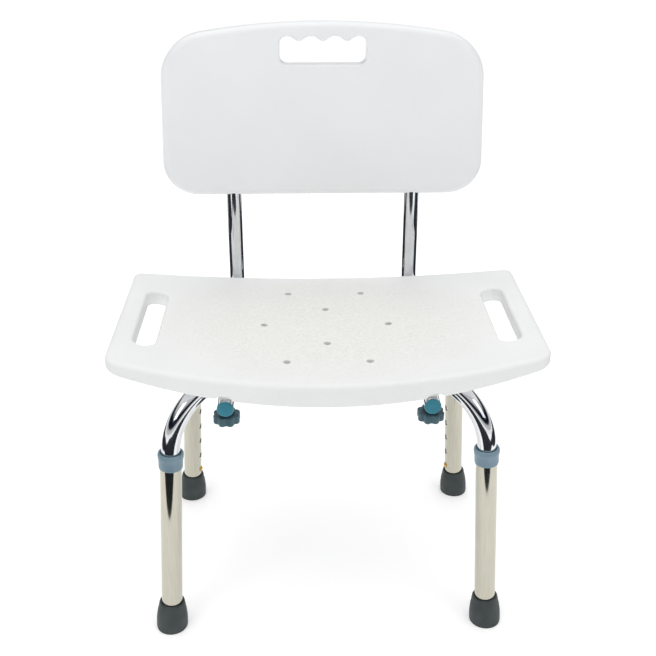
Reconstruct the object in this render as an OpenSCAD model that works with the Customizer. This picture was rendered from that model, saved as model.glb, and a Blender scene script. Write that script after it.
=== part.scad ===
// Shower chair: a blow-moulded seat and backrest on two crossed, bent tubes, with
// four telescoping legs set by snap buttons and a backrest held by two hand knobs.
// The origin is on the floor, midway between the foremost and the rearmost point.

/* [Seat] */
// Width of the seat
seat_w = 500; // [490:2:510]
// Depth of the seat on its centre line
seat_d = 302; // [298:1:310]
// Height of the seat's top on its centre line, with the legs at their lowest
seat_h = 347.3; // [347:0.1:349]
// Thickness of the double-walled seat
seat_t = 27.5; // [26:0.5:30]
// How far the left and right edges rise above the centre
seat_dish = 21.8; // [18:0.2:25]
// How far the front and rear edges bow outwards
edge_bow = 26; // [22:1:30]
// Width of the hand slots
slot_w = 26; // [22:1:28]
// Length of the hand slots
slot_l = 145; // [120:1:150]
// Diameter of the drain holes
drain_d = 8; // [6:0.5:10]

/* [Backrest] */
// Width of the backrest at its shoulders
back_w = 408; // [390:1:412]
// Height of the backrest panel
back_h = 219; // [210:1:225]
// Thickness of the backrest panel
back_t = 25; // [24:0.5:28]
// Height of the panel's lower edge
back_z = 462.2; // [458:0.1:470]
// Backward lean of the backrest
back_lean = 2; // [0:0.5:3]
// Distance of each back tube from the centre line
back_tube_x = 118; // [117:0.5:119]
// Outer diameter of the back tubes
back_tube_d = 19; // [19:0.5:19]

/* [Frame and legs] */
// Outer diameter of the bent frame tubes
frame_d = 22.2; // [22:0.1:22.2]
// Outer diameter of the telescoping leg tubes
leg_d = 25.4; // [25.4:0.1:25.6]
// Distance of each foot from the vertical centre line
foot_reach = 240; // [236:1:244]
// Direction of the rear right leg, seen from above
leg_turn = 35; // [34:0.5:36]
// Outward splay of the legs
splay = 3.9; // [3:0.1:4.5]
// Spacing of the height holes
hole_pitch = 25.4; // [25:0.1:26]
// Number of height holes in each leg
hole_count = 7; // [5:1:7]

/* [Hidden] */
$fn = 64;
wall = 3;
tube_wall = 1.2;
fit_gap = 0.3;
join_gap = 0.1;
bead_l = 1.6;
bead_h = 0.2;
tall = 800;
screw_d = 6;
insert_bore = 6.1;

// seat
bow_r = (pow(seat_w / 2, 2) + pow(edge_bow, 2)) / (2 * edge_bow);
dish_r = (pow(seat_w / 2, 2) + pow(seat_dish, 2)) / (2 * seat_dish);
under_r = 930;
front_corner = 22;
rear_corner = 13;
slot_x = 213;
slot_y = -2.5;
drain_places = [
    [47.6, 93.8], [-47.6, 93.8], [47.6, -93.8], [-47.6, -93.8],
    [0, 46.9], [0, -46.9], [76.3, 0], [-76.3, 0]
];

// bent frame tubes
run_z = seat_h - 23.3;
bend_r = 77;
bend_turn = 90 - splay;
bend_z = run_z - bend_r * (1 - sin(splay));
run_r = foot_reach - bend_z * tan(splay) - bend_r * cos(splay);
channel_r = frame_d / 2 + 0.5;
roof_z = run_z + channel_r;
channel_half = run_r + 40;
crimp_t = 11;
crimp_w = 28.6;
crimp_half = 33;
neck_start = 24;
crimp_end = 36;
pocket_r = 38;
frame_screw_r = 110;

// back tubes, in the plane through each tube
back_run_z = run_z - frame_d / 2 - back_tube_d / 2 - 0.4;
back_bend_r = 57;
back_y = 163.4;
back_bend_y = back_y - back_bend_r * cos(back_lean);
back_bend_top = back_run_z + back_bend_r * (1 - sin(back_lean));
plug_face_y = -124;
plug_head = 2.5;
notch_r = 14;
notch_z = seat_h - 14.1 - notch_r;
knob_y = -108;
saddle_y = 38;
saddle_screw_x = 16;

// backrest panel, drawn upright with its lower edge at zero
socket_depth = 150;
top_bow_r = 950;
shoulder_r = 60;
foot_corner_r = 44;
lower_half_w = back_w / 2 + 4;
grip_w = 108.5;
grip_h = 34.5;
grip_top = back_h - 17;
grip_corner = 9.25;
bump_pitch = 30;
bump_depth = 6;
back_screw_heights = [35, 110];

// legs, measured up each leg's own axis from the floor
leg_bore_d = frame_d + 2 * fit_gap;
leg_low = 8;
leg_top = 248;
frame_low = 24;
collar_low = 231;
collar_top = 251.5;
button_t = 49;
hole_d = 8.2;
hole_turn = 18;
foot_top = 38;
foot_low_d = 38.5;
foot_top_d = 31;
button_d = 7.8;

// knobs
knob_d = 32;
knob_h = 11;
knob_top = back_run_z - back_tube_d / 2 - 3.7;
stud_top = 324;

// the floor origin lies midway between the feet's front and the backrest's rear
front_edge = foot_reach * sin(leg_turn) + foot_low_d / 2;
rear_edge = back_y + (back_z + back_h - back_bend_top) * tan(back_lean) + back_t / 2;
shift_y = (front_edge - rear_edge) / 2;

shell_white = "#ECEDEC";
metal = "#C9CCCE";
trim_grey = "#6E8FA0";
teal = "#2F7488";
rubber_black = "#2D3535";
brass = "#C9A24B";

function gap_turn(r) = join_gap / r * 180 / PI;

function arc_points(cx, cy, r, a0, a1, n) =
    [for (i = [0 : n]) let (a = a0 + (a1 - a0) * i / n) [cx + r * cos(a), cy + r * sin(a)]];

// ---------- places ----------

// Turns the seat-centred parts into the floor frame
module placed() {
    translate([0, shift_y, 0]) children();
}

// Mirrors a rear right part to another side: sx is -1 on the left, sy is -1 at the front
module at_side(sx, sy) {
    placed() mirror([sx < 0 ? 1 : 0, 0, 0]) mirror([0, sy < 0 ? 1 : 0, 0]) children();
}

// A leg's own frame: +Z up the leg from the floor, +X outwards
module on_leg(sx, sy) {
    at_side(sx, sy) rotate([0, 0, leg_turn]) translate([foot_reach, 0, 0]) rotate([0, -splay, 0]) children();
}

// The leaning plane of the backrest, with its lower edge at zero
module on_lean() {
    translate([0, back_y, back_bend_top]) rotate([-back_lean, 0, 0])
        translate([0, 0, back_z - back_bend_top]) children();
}

// ---------- seat ----------

// Outline of the seat from above, drawn in by inset
module seat_outline(inset) {
    arc_y = bow_r - seat_d / 2;
    front_x = seat_w / 2 - front_corner;
    front_y = arc_y - sqrt(pow(bow_r - front_corner, 2) - pow(front_x, 2));
    front_a = atan2(front_y - arc_y, front_x);
    rear_x = seat_w / 2 - rear_corner;
    rear_y = sqrt(pow(bow_r - rear_corner, 2) - pow(rear_x, 2)) - arc_y;
    rear_a = atan2(rear_y + arc_y, rear_x);
    polygon(concat(
        arc_points(0, arc_y, bow_r - inset, -180 - front_a, front_a, 24),
        arc_points(front_x, front_y, front_corner - inset, front_a, 0, 8),
        arc_points(rear_x, rear_y, rear_corner - inset, 0, rear_a, 6),
        arc_points(0, -arc_y, bow_r - inset, rear_a, 180 - rear_a, 24),
        arc_points(-rear_x, rear_y, rear_corner - inset, 180 - rear_a, 180, 6),
        arc_points(-front_x, front_y, front_corner - inset, 180, 180 - front_a, 8)
    ));
}

// A cylinder across the seat's width whose lowest line is the middle of the underside
module underside_cylinder(r) {
    translate([0, 0, seat_h - seat_t + under_r]) rotate([90, 0, 0])
        cylinder(r = r, h = seat_d + 20, center = true, $fn = 720);
}

// The dished slab between the seat's top and its rounder underside, each face drawn in by inset
module seat_slab(inset) {
    difference() {
        underside_cylinder(under_r - inset);
        translate([0, 0, seat_h + dish_r]) rotate([90, 0, 0])
            cylinder(r = dish_r + inset, h = seat_d + 40, center = true, $fn = 720);
    }
}

module seat_block(inset) {
    intersection() {
        translate([0, 0, seat_h - 60]) linear_extrude(height = 120) seat_outline(inset);
        seat_slab(inset);
    }
}

// Both hand slots, grown by grow
module hand_slots(grow) {
    for (side = [-1, 1]) translate([side * slot_x, slot_y, seat_h - 60]) linear_extrude(height = 120) {
        square([slot_w + 2 * grow, slot_l - slot_w], center = true);
        for (end = [-1, 1]) translate([0, end * (slot_l - slot_w) / 2]) circle(d = slot_w + 2 * grow);
    }
}

module drain_holes(grow) {
    for (place = drain_places) translate([place[0], place[1], seat_h - 60])
        cylinder(d = drain_d + 2 * grow, h = 120, $fn = 32);
}

// A round-roofed channel that opens downwards
module channel(r, z, half) {
    translate([-half, 0, z]) rotate([0, 90, 0]) cylinder(r = r, h = 2 * half);
    translate([-half, -r, z - 60]) cube([2 * half, 2 * r, 60]);
}

// Channels for the crossed frame tubes, their centre pocket and the back tubes
module tube_channels(grow) {
    for (turn = [-1, 1]) rotate([0, 0, turn * leg_turn])
        channel(channel_r + grow, run_z, channel_half + grow);
    translate([0, 0, roof_z - 60]) cylinder(r = pocket_r + grow, h = 60 + grow);
    for (side = [-1, 1]) translate([side * back_tube_x, 0, 0]) rotate([0, 0, 90])
        channel(notch_r + grow, notch_z, seat_d);
}

// Places of the screws that hold the frame tubes, as distances along each tube
module at_frame_screws() {
    children();
    for (turn = [-1, 1], end = [-1, 1]) rotate([0, 0, turn * leg_turn])
        translate([end * frame_screw_r, 0, 0]) children();
}

module at_knobs() {
    for (side = [-1, 1]) translate([side * back_tube_x, knob_y, 0]) children();
}

module at_saddle_screws() {
    for (side = [-1, 1], end = [-1, 1])
        translate([side * back_tube_x + end * saddle_screw_x, saddle_y, 0]) children();
}

module seat_panel() {
    color(shell_white) placed() difference() {
        union() {
            difference() {
                seat_block(0);
                difference() {
                    seat_block(wall);
                    hand_slots(wall);
                    drain_holes(wall);
                    tube_channels(wall);
                    at_frame_screws() translate([0, 0, roof_z - 10]) cylinder(r = 7.5, h = 40);
                    at_knobs() translate([0, 0, roof_z - 20]) cylinder(r = 9, h = 50);
                    at_saddle_screws() translate([0, 0, roof_z - 20]) cylinder(r = 5, h = 50);
                }
                hand_slots(0);
                drain_holes(0);
                tube_channels(0);
            }
            at_knobs() translate([0, 0, back_run_z + back_tube_d / 2 + 0.1]) cylinder(r = 9, h = 26);
        }
        at_frame_screws() translate([0, 0, roof_z - 0.5]) cylinder(d = 9, h = 8.5);
        at_knobs() translate([0, 0, back_run_z + back_tube_d / 2]) cylinder(d = 9, h = 12.6);
        at_saddle_screws() translate([0, 0, roof_z - 20]) cylinder(d = 3.6, h = 26);
    }
}

// Brass threaded bushes moulded into the seat for the frame screws and the knob studs
module seat_inserts() {
    color(brass) placed() {
        at_frame_screws() translate([0, 0, roof_z]) difference() {
            cylinder(d = 9, h = 8);
            translate([0, 0, -1]) cylinder(d = insert_bore, h = 10);
        }
        at_knobs() translate([0, 0, back_run_z + back_tube_d / 2 + 0.5]) difference() {
            cylinder(d = 9, h = 12.1);
            translate([0, 0, -1]) cylinder(d = insert_bore, h = 14.2);
        }
    }
}

// ---------- crossed frame tubes ----------

// The pressed cross-section: a flat oval
module oval(inset) {
    square([crimp_w - crimp_t, crimp_t - 2 * inset], center = true);
    for (side = [-1, 1]) translate([side * (crimp_w - crimp_t) / 2, 0]) circle(d = crimp_t - 2 * inset);
}

// A length of the oval, lying along X
module oval_bar(inset, length, lift) {
    translate([0, 0, lift]) rotate([90, 0, 90]) linear_extrude(height = length, center = true) oval(inset);
}

// A low band that bridges two stretches of one tube
module bead(r) {
    cylinder(r = r + bead_h, h = bead_l, center = true);
}

// Half of a bent tube, from its necked end by the pressed centre to its lower end
// inside the leg, which is drawn longer by reach
module tube_half(inset, reach) {
    r = frame_d / 2 - inset;
    neck_slope = (frame_d - crimp_t) / 2 / (crimp_end - neck_start);
    neck_r = r - neck_slope * (crimp_end - neck_start - inset);
    translate([0, 0, run_z]) rotate([0, 90, 0]) {
        rotate_extrude() polygon([
            [0, neck_start + inset], [neck_r, neck_start + inset], [r, crimp_end],
            [r, run_r - join_gap], [0, run_r - join_gap]
        ]);
        translate([0, 0, run_r]) bead(r);
    }
    translate([run_r, 0, run_z - bend_r]) rotate([90, 0, 0]) rotate([0, 0, splay + gap_turn(bend_r)])
        rotate_extrude(angle = bend_turn - 2 * gap_turn(bend_r), $fn = 96) translate([bend_r, 0]) circle(r = r);
    translate([foot_reach, 0, 0]) rotate([0, -splay, 0]) {
        translate([0, 0, frame_low - reach])
            cylinder(r = r, h = bend_z / cos(splay) - frame_low + reach - join_gap);
        translate([0, 0, bend_z / cos(splay)]) bead(r);
    }
}

// A whole bent tube whose middle is pressed flat, so that two tubes lap at the
// crossing: lift moves the pressed part up or down
module bent_tube_body(inset, lift, reach) {
    for (half_turn = [0, 180]) rotate([0, 0, half_turn]) tube_half(inset, reach);
    translate([0, 0, run_z]) oval_bar(inset, 2 * (crimp_half - inset), lift);
}

// The side that a leg's holes face: inwards, turned a little towards the front of the chair
// or, on the front legs, towards the rear
function hole_side(sy) = 180 - sy * hole_turn;

module button_hole(sy) {
    translate([foot_reach, 0, 0]) rotate([0, -splay, 0]) translate([0, 0, button_t])
        rotate([0, 0, hole_side(sy)]) rotate([0, 90, 0]) cylinder(d = hole_d, h = frame_d, $fn = 32);
}

// The tube that runs from the rear right leg to the front left one, or its mirror image
module cross_tube(side, lift) {
    color(metal) placed() mirror([side < 0 ? 1 : 0, 0, 0]) rotate([0, 0, leg_turn]) difference() {
        bent_tube_body(0, lift, 0);
        bent_tube_body(tube_wall, lift, 1);
        for (end = [-1, 1]) rotate([0, 0, 90 - 90 * end]) {
            button_hole(end);
            translate([frame_screw_r, 0, run_z - 20]) cylinder(d = screw_d + 0.4, h = 40);
        }
        translate([0, 0, run_z - 20]) cylinder(d = screw_d + 0.4, h = 40);
    }
}

// Pan-head screws up through the frame tubes into the seat's inserts
module frame_screws() {
    color(metal) placed() at_frame_screws() {
        translate([0, 0, run_z - frame_d / 2 - 3.7]) cylinder(d = 11, h = 3.6);
        translate([0, 0, run_z - frame_d / 2 - 0.2]) cylinder(d = screw_d, h = roof_z - run_z + frame_d / 2 + 7);
    }
}

// ---------- backrest ----------

module back_tube_body(r, reach) {
    translate([0, plug_face_y + plug_head - reach, back_run_z]) rotate([-90, 0, 0])
        cylinder(r = r, h = back_bend_y - plug_face_y - plug_head + reach - join_gap);
    translate([0, back_bend_y, back_run_z]) rotate([-90, 0, 0]) bead(r);
    translate([0, back_bend_y, back_run_z + back_bend_r]) rotate([90, 0, 90])
        rotate([0, 0, gap_turn(back_bend_r) - 90])
        rotate_extrude(angle = 90 - back_lean - 2 * gap_turn(back_bend_r), $fn = 96)
        translate([back_bend_r, 0]) circle(r = r);
    translate([0, back_y, back_bend_top]) rotate([-back_lean, 0, 0]) {
        bead(r);
        translate([0, 0, join_gap])
            cylinder(r = r, h = back_z - back_bend_top + socket_depth + reach - join_gap);
    }
}

// An L-shaped tube: forwards under the seat, up behind it and into the backrest
module back_tube(side) {
    color(metal) placed() translate([side * back_tube_x, 0, 0]) difference() {
        back_tube_body(back_tube_d / 2, 0);
        back_tube_body(back_tube_d / 2 - tube_wall, 1);
        translate([0, knob_y, back_run_z - 20]) cylinder(d = screw_d + 0.6, h = 40);
        on_lean() for (z = back_screw_heights) translate([0, 0, z]) rotate([90, 0, 0])
            cylinder(d = 4.2, h = 40, center = true);
    }
}

// Push-in end plug: a flat cap with a short spigot
module end_plug(side) {
    color(teal) placed() translate([side * back_tube_x, plug_face_y, back_run_z]) rotate([-90, 0, 0]) {
        cylinder(d1 = back_tube_d - 0.6, d2 = back_tube_d + 0.6, h = plug_head);
        cylinder(d = back_tube_d - 2 * tube_wall, h = plug_head + 9);
    }
}

// Moulded saddle that hangs each back tube from the seat's underside
module tube_saddle(side) {
    color(trim_grey) placed() difference() {
        translate([side * back_tube_x, saddle_y, 0]) {
            translate([-21, -12, roof_z - 17]) cube([42, 24, 22]);
            translate([-11.5, -12, back_run_z - 5]) cube([23, 24, 24]);
            translate([0, -12, back_run_z]) rotate([-90, 0, 0]) cylinder(r = 14, h = 24);
        }
        underside_cylinder(under_r + 0.1);
        translate([side * back_tube_x, saddle_y, back_run_z]) rotate([90, 0, 0])
            cylinder(d = back_tube_d + 0.1, h = 40, center = true);
        at_saddle_screws() translate([0, 0, back_run_z]) cylinder(d = 4.4, h = 40);
    }
}

module saddle_screws() {
    color(metal) placed() at_saddle_screws() {
        translate([0, 0, roof_z - 17 - 2.6]) cylinder(d = 8, h = 2.5);
        translate([0, 0, roof_z - 17 - 0.2]) cylinder(d = 3.6, h = 18);
    }
}

// Outline of the backrest from the front, drawn in by inset
module back_outline(inset) {
    shoulder_x = back_w / 2 - shoulder_r;
    arc_y = back_h - top_bow_r;
    shoulder_y = arc_y + sqrt(pow(top_bow_r - shoulder_r, 2) - pow(shoulder_x, 2));
    shoulder_a = atan2(shoulder_y - arc_y, shoulder_x);
    low_x = lower_half_w - foot_corner_r;
    polygon(concat(
        arc_points(low_x, foot_corner_r, foot_corner_r - inset, -90, 0, 12),
        arc_points(shoulder_x, shoulder_y, shoulder_r - inset, 0, shoulder_a, 12),
        arc_points(0, arc_y, top_bow_r - inset, shoulder_a, 180 - shoulder_a, 16),
        arc_points(-shoulder_x, shoulder_y, shoulder_r - inset, 180 - shoulder_a, 180, 12),
        arc_points(-low_x, foot_corner_r, foot_corner_r - inset, 180, 270, 12)
    ));
}

// The handle opening: rounded below, with finger scallops along its top
module grip_outline(grow) {
    half = grip_w / 2 + grow;
    low = grip_top - grip_h - grow;
    corner = grip_corner + grow;
    top = grip_top + grow;
    scallops = [for (i = [-30 : 30]) let (x = -i * 1.5)
        [x, top - bump_depth * pow((1 + cos(360 * x / bump_pitch)) / 2, 1.5)]];
    polygon(concat(
        arc_points(grip_w / 2 - grip_corner, low + corner, corner, -90, 0, 6),
        arc_points(grip_w / 2 - grip_corner, top - corner, corner, 0, 90, 6),
        scallops,
        arc_points(grip_corner - grip_w / 2, top - corner, corner, 90, 180, 6),
        arc_points(grip_corner - grip_w / 2, low + corner, corner, 180, 270, 6)
    ));
}

module back_plate(thickness) {
    rotate([90, 0, 0]) linear_extrude(height = thickness, center = true) children();
}

module backrest_panel() {
    color(shell_white) placed() on_lean() difference() {
        back_plate(back_t) back_outline(0);
        difference() {
            back_plate(back_t - 2 * wall) back_outline(wall);
            back_plate(back_t + 10) grip_outline(wall);
            for (side = [-1, 1]) translate([side * back_tube_x, 0, -1]) {
                cylinder(d = back_tube_d + 2 * wall, h = socket_depth + wall + 1);
                translate([-5, -back_t / 2, 0]) cube([10, back_t, socket_depth]);
            }
        }
        back_plate(back_t + 10) grip_outline(0);
        for (side = [-1, 1]) translate([side * back_tube_x, 0, 0]) {
            translate([0, 0, -1]) cylinder(d = back_tube_d + 0.1, h = socket_depth + 1.2);
            for (z = back_screw_heights) translate([0, 0, z]) rotate([-90, 0, 0]) {
                translate([0, 0, -6]) cylinder(d = 4.2, h = 30);
                translate([0, 0, back_t / 2 - 2.4]) cylinder(d = 9, h = 5);
            }
        }
    }
}

// Self-tapping screws from behind, through the panel into each back tube
module backrest_screws() {
    color(metal) placed() on_lean() for (side = [-1, 1], z = back_screw_heights)
        translate([side * back_tube_x, 0, z]) rotate([-90, 0, 0]) {
            translate([0, 0, back_t / 2 - 2.3]) cylinder(d = 8.4, h = 2.3);
            translate([0, 0, -5]) cylinder(d = 4, h = back_t / 2 + 3);
        }
}

// ---------- knobs ----------

module at_knob(side) {
    placed() translate([side * back_tube_x, knob_y, 0]) children();
}

// Lobed hand knob, with the stud's head moulded into it
module knob(side) {
    color(teal) at_knob(side) difference() {
        translate([0, 0, knob_top - knob_h]) {
            cylinder(d = knob_d - 5, h = knob_h);
            for (i = [0 : 7]) rotate([0, 0, i * 45 + 22.5]) translate([knob_d / 2 - 4.6, 0, 1.5])
                cylinder(r = 4.6, h = knob_h - 3, $fn = 32);
        }
        translate([0, 0, knob_top - 9]) cylinder(d = screw_d, h = 10);
        translate([0, 0, knob_top - 9]) cylinder(d = 10, h = 4, $fn = 6);
    }
}

module knob_stud(side) {
    color(metal) at_knob(side) {
        translate([0, 0, knob_top - 9]) cylinder(d = 10, h = 4, $fn = 6);
        translate([0, 0, knob_top - 9]) cylinder(d = screw_d, h = stud_top - knob_top + 9);
    }
}

// Hollow-topped washer that seats the knob square on the round tube
module saddle_washer(side) {
    color(rubber_black) at_knob(side) difference() {
        translate([0, 0, knob_top + 0.2]) cylinder(d = 18, h = 6.5);
        translate([0, 0, knob_top - 1]) cylinder(d = screw_d + 0.8, h = 12);
        translate([0, 0, back_run_z]) rotate([90, 0, 0])
            cylinder(d = back_tube_d + 0.3, h = 40, center = true);
    }
}

// ---------- telescoping legs ----------

module leg_tube(sx, sy) {
    color(metal) on_leg(sx, sy) difference() {
        translate([0, 0, leg_low]) cylinder(d = leg_d, h = leg_top - leg_low);
        translate([0, 0, leg_low - 1]) cylinder(d = leg_bore_d, h = leg_top - leg_low + 2);
        for (i = [0 : hole_count - 1]) translate([0, 0, button_t + i * hole_pitch])
            rotate([0, 0, hole_side(sy)]) rotate([0, 90, 0]) cylinder(d = hole_d, h = leg_d, $fn = 32);
    }
}

// Moulded guide collar, pressed over the leg tube's top, with a lip around the inner tube
module collar(sx, sy) {
    color(trim_grey) on_leg(sx, sy) rotate_extrude() polygon([
        [leg_d / 2, collar_low], [leg_d / 2 + 1, collar_low], [14.1, collar_low + 1.5],
        [14.3, collar_top - 9], [15, collar_top - 6.5], [15.1, collar_top - 2.5], [14.3, collar_top - 0.5],
        [13.2, collar_top], [12, collar_top - 0.2], [leg_bore_d / 2, collar_top - 1],
        [leg_bore_d / 2, leg_top], [leg_d / 2, leg_top]
    ]);
}

// Rubber tip: a tapered boot over the leg tube, its sole worn flat on the floor
module foot(sx, sy) {
    color(rubber_black) difference() {
        on_leg(sx, sy) rotate_extrude() polygon([
            [0, -4], [foot_low_d / 2 - 1, -4], [foot_low_d / 2, 2], [foot_low_d / 2, 10],
            [foot_low_d / 2 - 0.7, 19], [foot_top_d / 2 + 1, foot_top - 7],
            [foot_top_d / 2, foot_top - 1.5], [foot_top_d / 2 - 0.8, foot_top],
            [leg_d / 2, foot_top], [leg_d / 2, 6], [0, 6]
        ]);
        translate([-tall / 2, -tall / 2, -20]) cube([tall, tall, 20]);
    }
}

// Steel washer in the boot that stops the tube from cutting through the rubber
module foot_washer(sx, sy) {
    color(metal) on_leg(sx, sy) translate([0, 0, 6]) difference() {
        cylinder(d = leg_d - 0.4, h = 2);
        translate([0, 0, -1]) cylinder(d = 8, h = 4);
    }
}

// A snap button's own frame: +X points out through the hole
module on_button(sx, sy) {
    on_leg(sx, sy) translate([0, 0, button_t]) rotate([0, 0, hole_side(sy)]) children();
}

// Domed button with a flange that stays inside the inner tube
module snap_button(sx, sy) {
    color(brass) on_button(sx, sy) rotate([0, 90, 0]) rotate_extrude($fn = 48) polygon(concat(
        [[0, 7.6], [button_d / 2 + 0.8, 7.6], [button_d / 2 + 0.8, 8.4], [button_d / 2, 8.4]],
        [for (i = [0 : 6]) let (a = i * 15) [button_d / 2 * cos(a), 12.6 + 2.4 * sin(a)]]
    ));
}

// Sprung strip, bent double inside the inner tube, that pushes the button out
module button_spring(sx, sy) {
    color(metal) on_button(sx, sy) rotate([90, 0, 0]) linear_extrude(height = 5, center = true) {
        translate([6.7, -6]) square([0.8, 42]);
        translate([-7.5, -6]) square([0.8, 42]);
        translate([0, 36]) intersection() {
            difference() {
                circle(r = 7.5);
                circle(r = 6.7);
            }
            translate([-9, 0]) square([18, 9]);
        }
    }
}

seat_panel();
seat_inserts();
cross_tube(-1, -crimp_t / 2 - 0.05);  // cross_tube_left
cross_tube(1, crimp_t / 2 + 0.05);  // cross_tube_right
frame_screws();
back_tube(-1);  // back_tube_left
back_tube(1);  // back_tube_right
end_plug(-1);  // end_plug_left
end_plug(1);  // end_plug_right
tube_saddle(-1);  // tube_saddle_left
tube_saddle(1);  // tube_saddle_right
saddle_screws();
backrest_panel();
backrest_screws();
knob(-1);  // knob_left
knob(1);  // knob_right
knob_stud(-1);  // knob_stud_left
knob_stud(1);  // knob_stud_right
saddle_washer(-1);  // saddle_washer_left
saddle_washer(1);  // saddle_washer_right
leg_tube(-1, -1);  // leg_tube_front_left
leg_tube(1, -1);  // leg_tube_front_right
leg_tube(-1, 1);  // leg_tube_rear_left
leg_tube(1, 1);  // leg_tube_rear_right
collar(-1, -1);  // collar_front_left
collar(1, -1);  // collar_front_right
collar(-1, 1);  // collar_rear_left
collar(1, 1);  // collar_rear_right
foot(-1, -1);  // foot_front_left
foot(1, -1);  // foot_front_right
foot(-1, 1);  // foot_rear_left
foot(1, 1);  // foot_rear_right
foot_washer(-1, -1);  // foot_washer_front_left
foot_washer(1, -1);  // foot_washer_front_right
foot_washer(-1, 1);  // foot_washer_rear_left
foot_washer(1, 1);  // foot_washer_rear_right
snap_button(-1, -1);  // snap_button_front_left
snap_button(1, -1);  // snap_button_front_right
snap_button(-1, 1);  // snap_button_rear_left
snap_button(1, 1);  // snap_button_rear_right
button_spring(-1, -1);  // button_spring_front_left
button_spring(1, -1);  // button_spring_front_right
button_spring(-1, 1);  // button_spring_rear_left
button_spring(1, 1);  // button_spring_rear_right
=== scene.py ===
import math

import bpy
from mathutils import Matrix, Vector


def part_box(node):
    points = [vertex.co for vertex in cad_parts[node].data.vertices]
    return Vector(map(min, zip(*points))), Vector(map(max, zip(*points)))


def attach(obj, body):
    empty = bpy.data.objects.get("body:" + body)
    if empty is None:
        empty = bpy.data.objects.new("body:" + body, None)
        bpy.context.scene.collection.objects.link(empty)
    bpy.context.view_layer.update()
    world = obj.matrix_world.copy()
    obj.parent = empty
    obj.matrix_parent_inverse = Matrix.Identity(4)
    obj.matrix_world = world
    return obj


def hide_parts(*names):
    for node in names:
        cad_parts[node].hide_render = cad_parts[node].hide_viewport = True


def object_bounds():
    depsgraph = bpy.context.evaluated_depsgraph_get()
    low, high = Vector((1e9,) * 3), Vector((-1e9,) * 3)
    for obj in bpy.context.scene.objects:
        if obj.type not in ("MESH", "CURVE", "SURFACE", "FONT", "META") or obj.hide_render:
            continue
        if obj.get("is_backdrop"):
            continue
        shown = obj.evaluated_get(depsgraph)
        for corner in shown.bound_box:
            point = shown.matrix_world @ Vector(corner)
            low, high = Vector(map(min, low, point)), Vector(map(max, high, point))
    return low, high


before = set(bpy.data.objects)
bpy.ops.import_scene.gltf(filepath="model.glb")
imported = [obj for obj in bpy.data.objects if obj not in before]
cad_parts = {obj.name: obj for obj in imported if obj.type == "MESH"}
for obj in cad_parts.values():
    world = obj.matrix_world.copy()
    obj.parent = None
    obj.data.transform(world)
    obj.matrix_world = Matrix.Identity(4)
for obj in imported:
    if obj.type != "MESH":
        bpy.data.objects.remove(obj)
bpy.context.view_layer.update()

# ---- Camera ----
# One camera stands in front of the chair, a little to its left, and looks down on the seat.
# It is a short telephoto, so the legs stay nearly upright.

bpy.ops.object.camera_add(
    location=(-0.03104, -1.08499, 0.87594),
    rotation=(math.radians(63.565), math.radians(-0.124), math.radians(-1.704)),
)
camera = bpy.context.object
camera.data.lens = 53.34
camera.data.sensor_width = 36
camera.data.dof.use_dof = False
bpy.context.scene.camera = camera
bpy.context.scene.view_settings.view_transform = "Standard"

# ---- Seat ----
# The seat is one hollow shell of white polyethylene, blow moulded in a grit-blasted mould.
# It is dished from side to side. Two hand slots with rolled rims and eight drain holes go
# through it, and its underside is channelled for the tubes, which screw to it from below.

seat_half, seat_depth, seat_thickness = 0.250, 0.302, 0.0275
seat_top = 0.3473
edge_bow, seat_dish = 0.026, 0.0218
bow_radius = (seat_half ** 2 + edge_bow ** 2) / (2 * edge_bow)
dish_radius = (seat_half ** 2 + seat_dish ** 2) / (2 * seat_dish)
underside_radius = 0.930
slot_x, slot_y = 0.213, -0.0025
drain_radius = 0.0052
run_height, channel_radius, crossing_turn = 0.324, 0.0116, 35
back_x, knob_y, stud_hole = 0.118, -0.108, 0.00305
weld = 0.000002
seat_low, seat_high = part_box("seat_panel")
seat_middle = (seat_low.y + seat_high.y) / 2


def rest():
    """Leaves edit mode, with nothing selected."""
    if bpy.context.mode != "OBJECT":
        bpy.ops.object.mode_set(mode="OBJECT")
    bpy.ops.object.select_all(action="DESELECT")


def pick(piece):
    """Makes one piece the only one selected, and the active one."""
    rest()
    piece.select_set(True)
    bpy.context.view_layer.objects.active = piece


def choose(piece, test):
    """Opens a piece in face mode with the faces that pass the test selected."""
    pick(piece)
    bpy.ops.object.mode_set(mode="EDIT")
    bpy.ops.mesh.select_mode(type="FACE")
    bpy.ops.mesh.select_all(action="DESELECT")
    bpy.ops.object.mode_set(mode="OBJECT")
    for face in piece.data.polygons:
        face.select = test(face)
    bpy.ops.object.mode_set(mode="EDIT")


def tidy(piece):
    """Merges doubled points and turns every face outwards."""
    pick(piece)
    bpy.ops.object.mode_set(mode="EDIT")
    bpy.ops.mesh.select_all(action="SELECT")
    bpy.ops.mesh.remove_doubles(threshold=weld)
    bpy.ops.mesh.normals_make_consistent(inside=False)
    rest()


def arc(x, y, radius, start, end, steps):
    """Points along an arc, angles in degrees."""
    turns = [math.radians(start + (end - start) * i / steps) for i in range(steps + 1)]
    return [(x + radius * math.cos(a), y + radius * math.sin(a)) for a in turns]


def rounded(radius, steps):
    """Steps, each drawn in and risen, that round an outer edge."""
    a = [math.radians(90 * i / steps) for i in range(steps + 1)]
    return [
        (radius * (math.cos(p) - math.cos(q)), radius * (math.sin(q) - math.sin(p)))
        for p, q in zip(a, a[1:])
    ]


def flared(radius, steps):
    """Steps that roll the rim of a hole, from its mouth inwards."""
    a = [math.radians(90 * i / steps) for i in range(steps + 1)]
    return [
        (radius * (math.sin(q) - math.sin(p)), radius * (math.cos(p) - math.cos(q)))
        for p, q in zip(a, a[1:])
    ]


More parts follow.
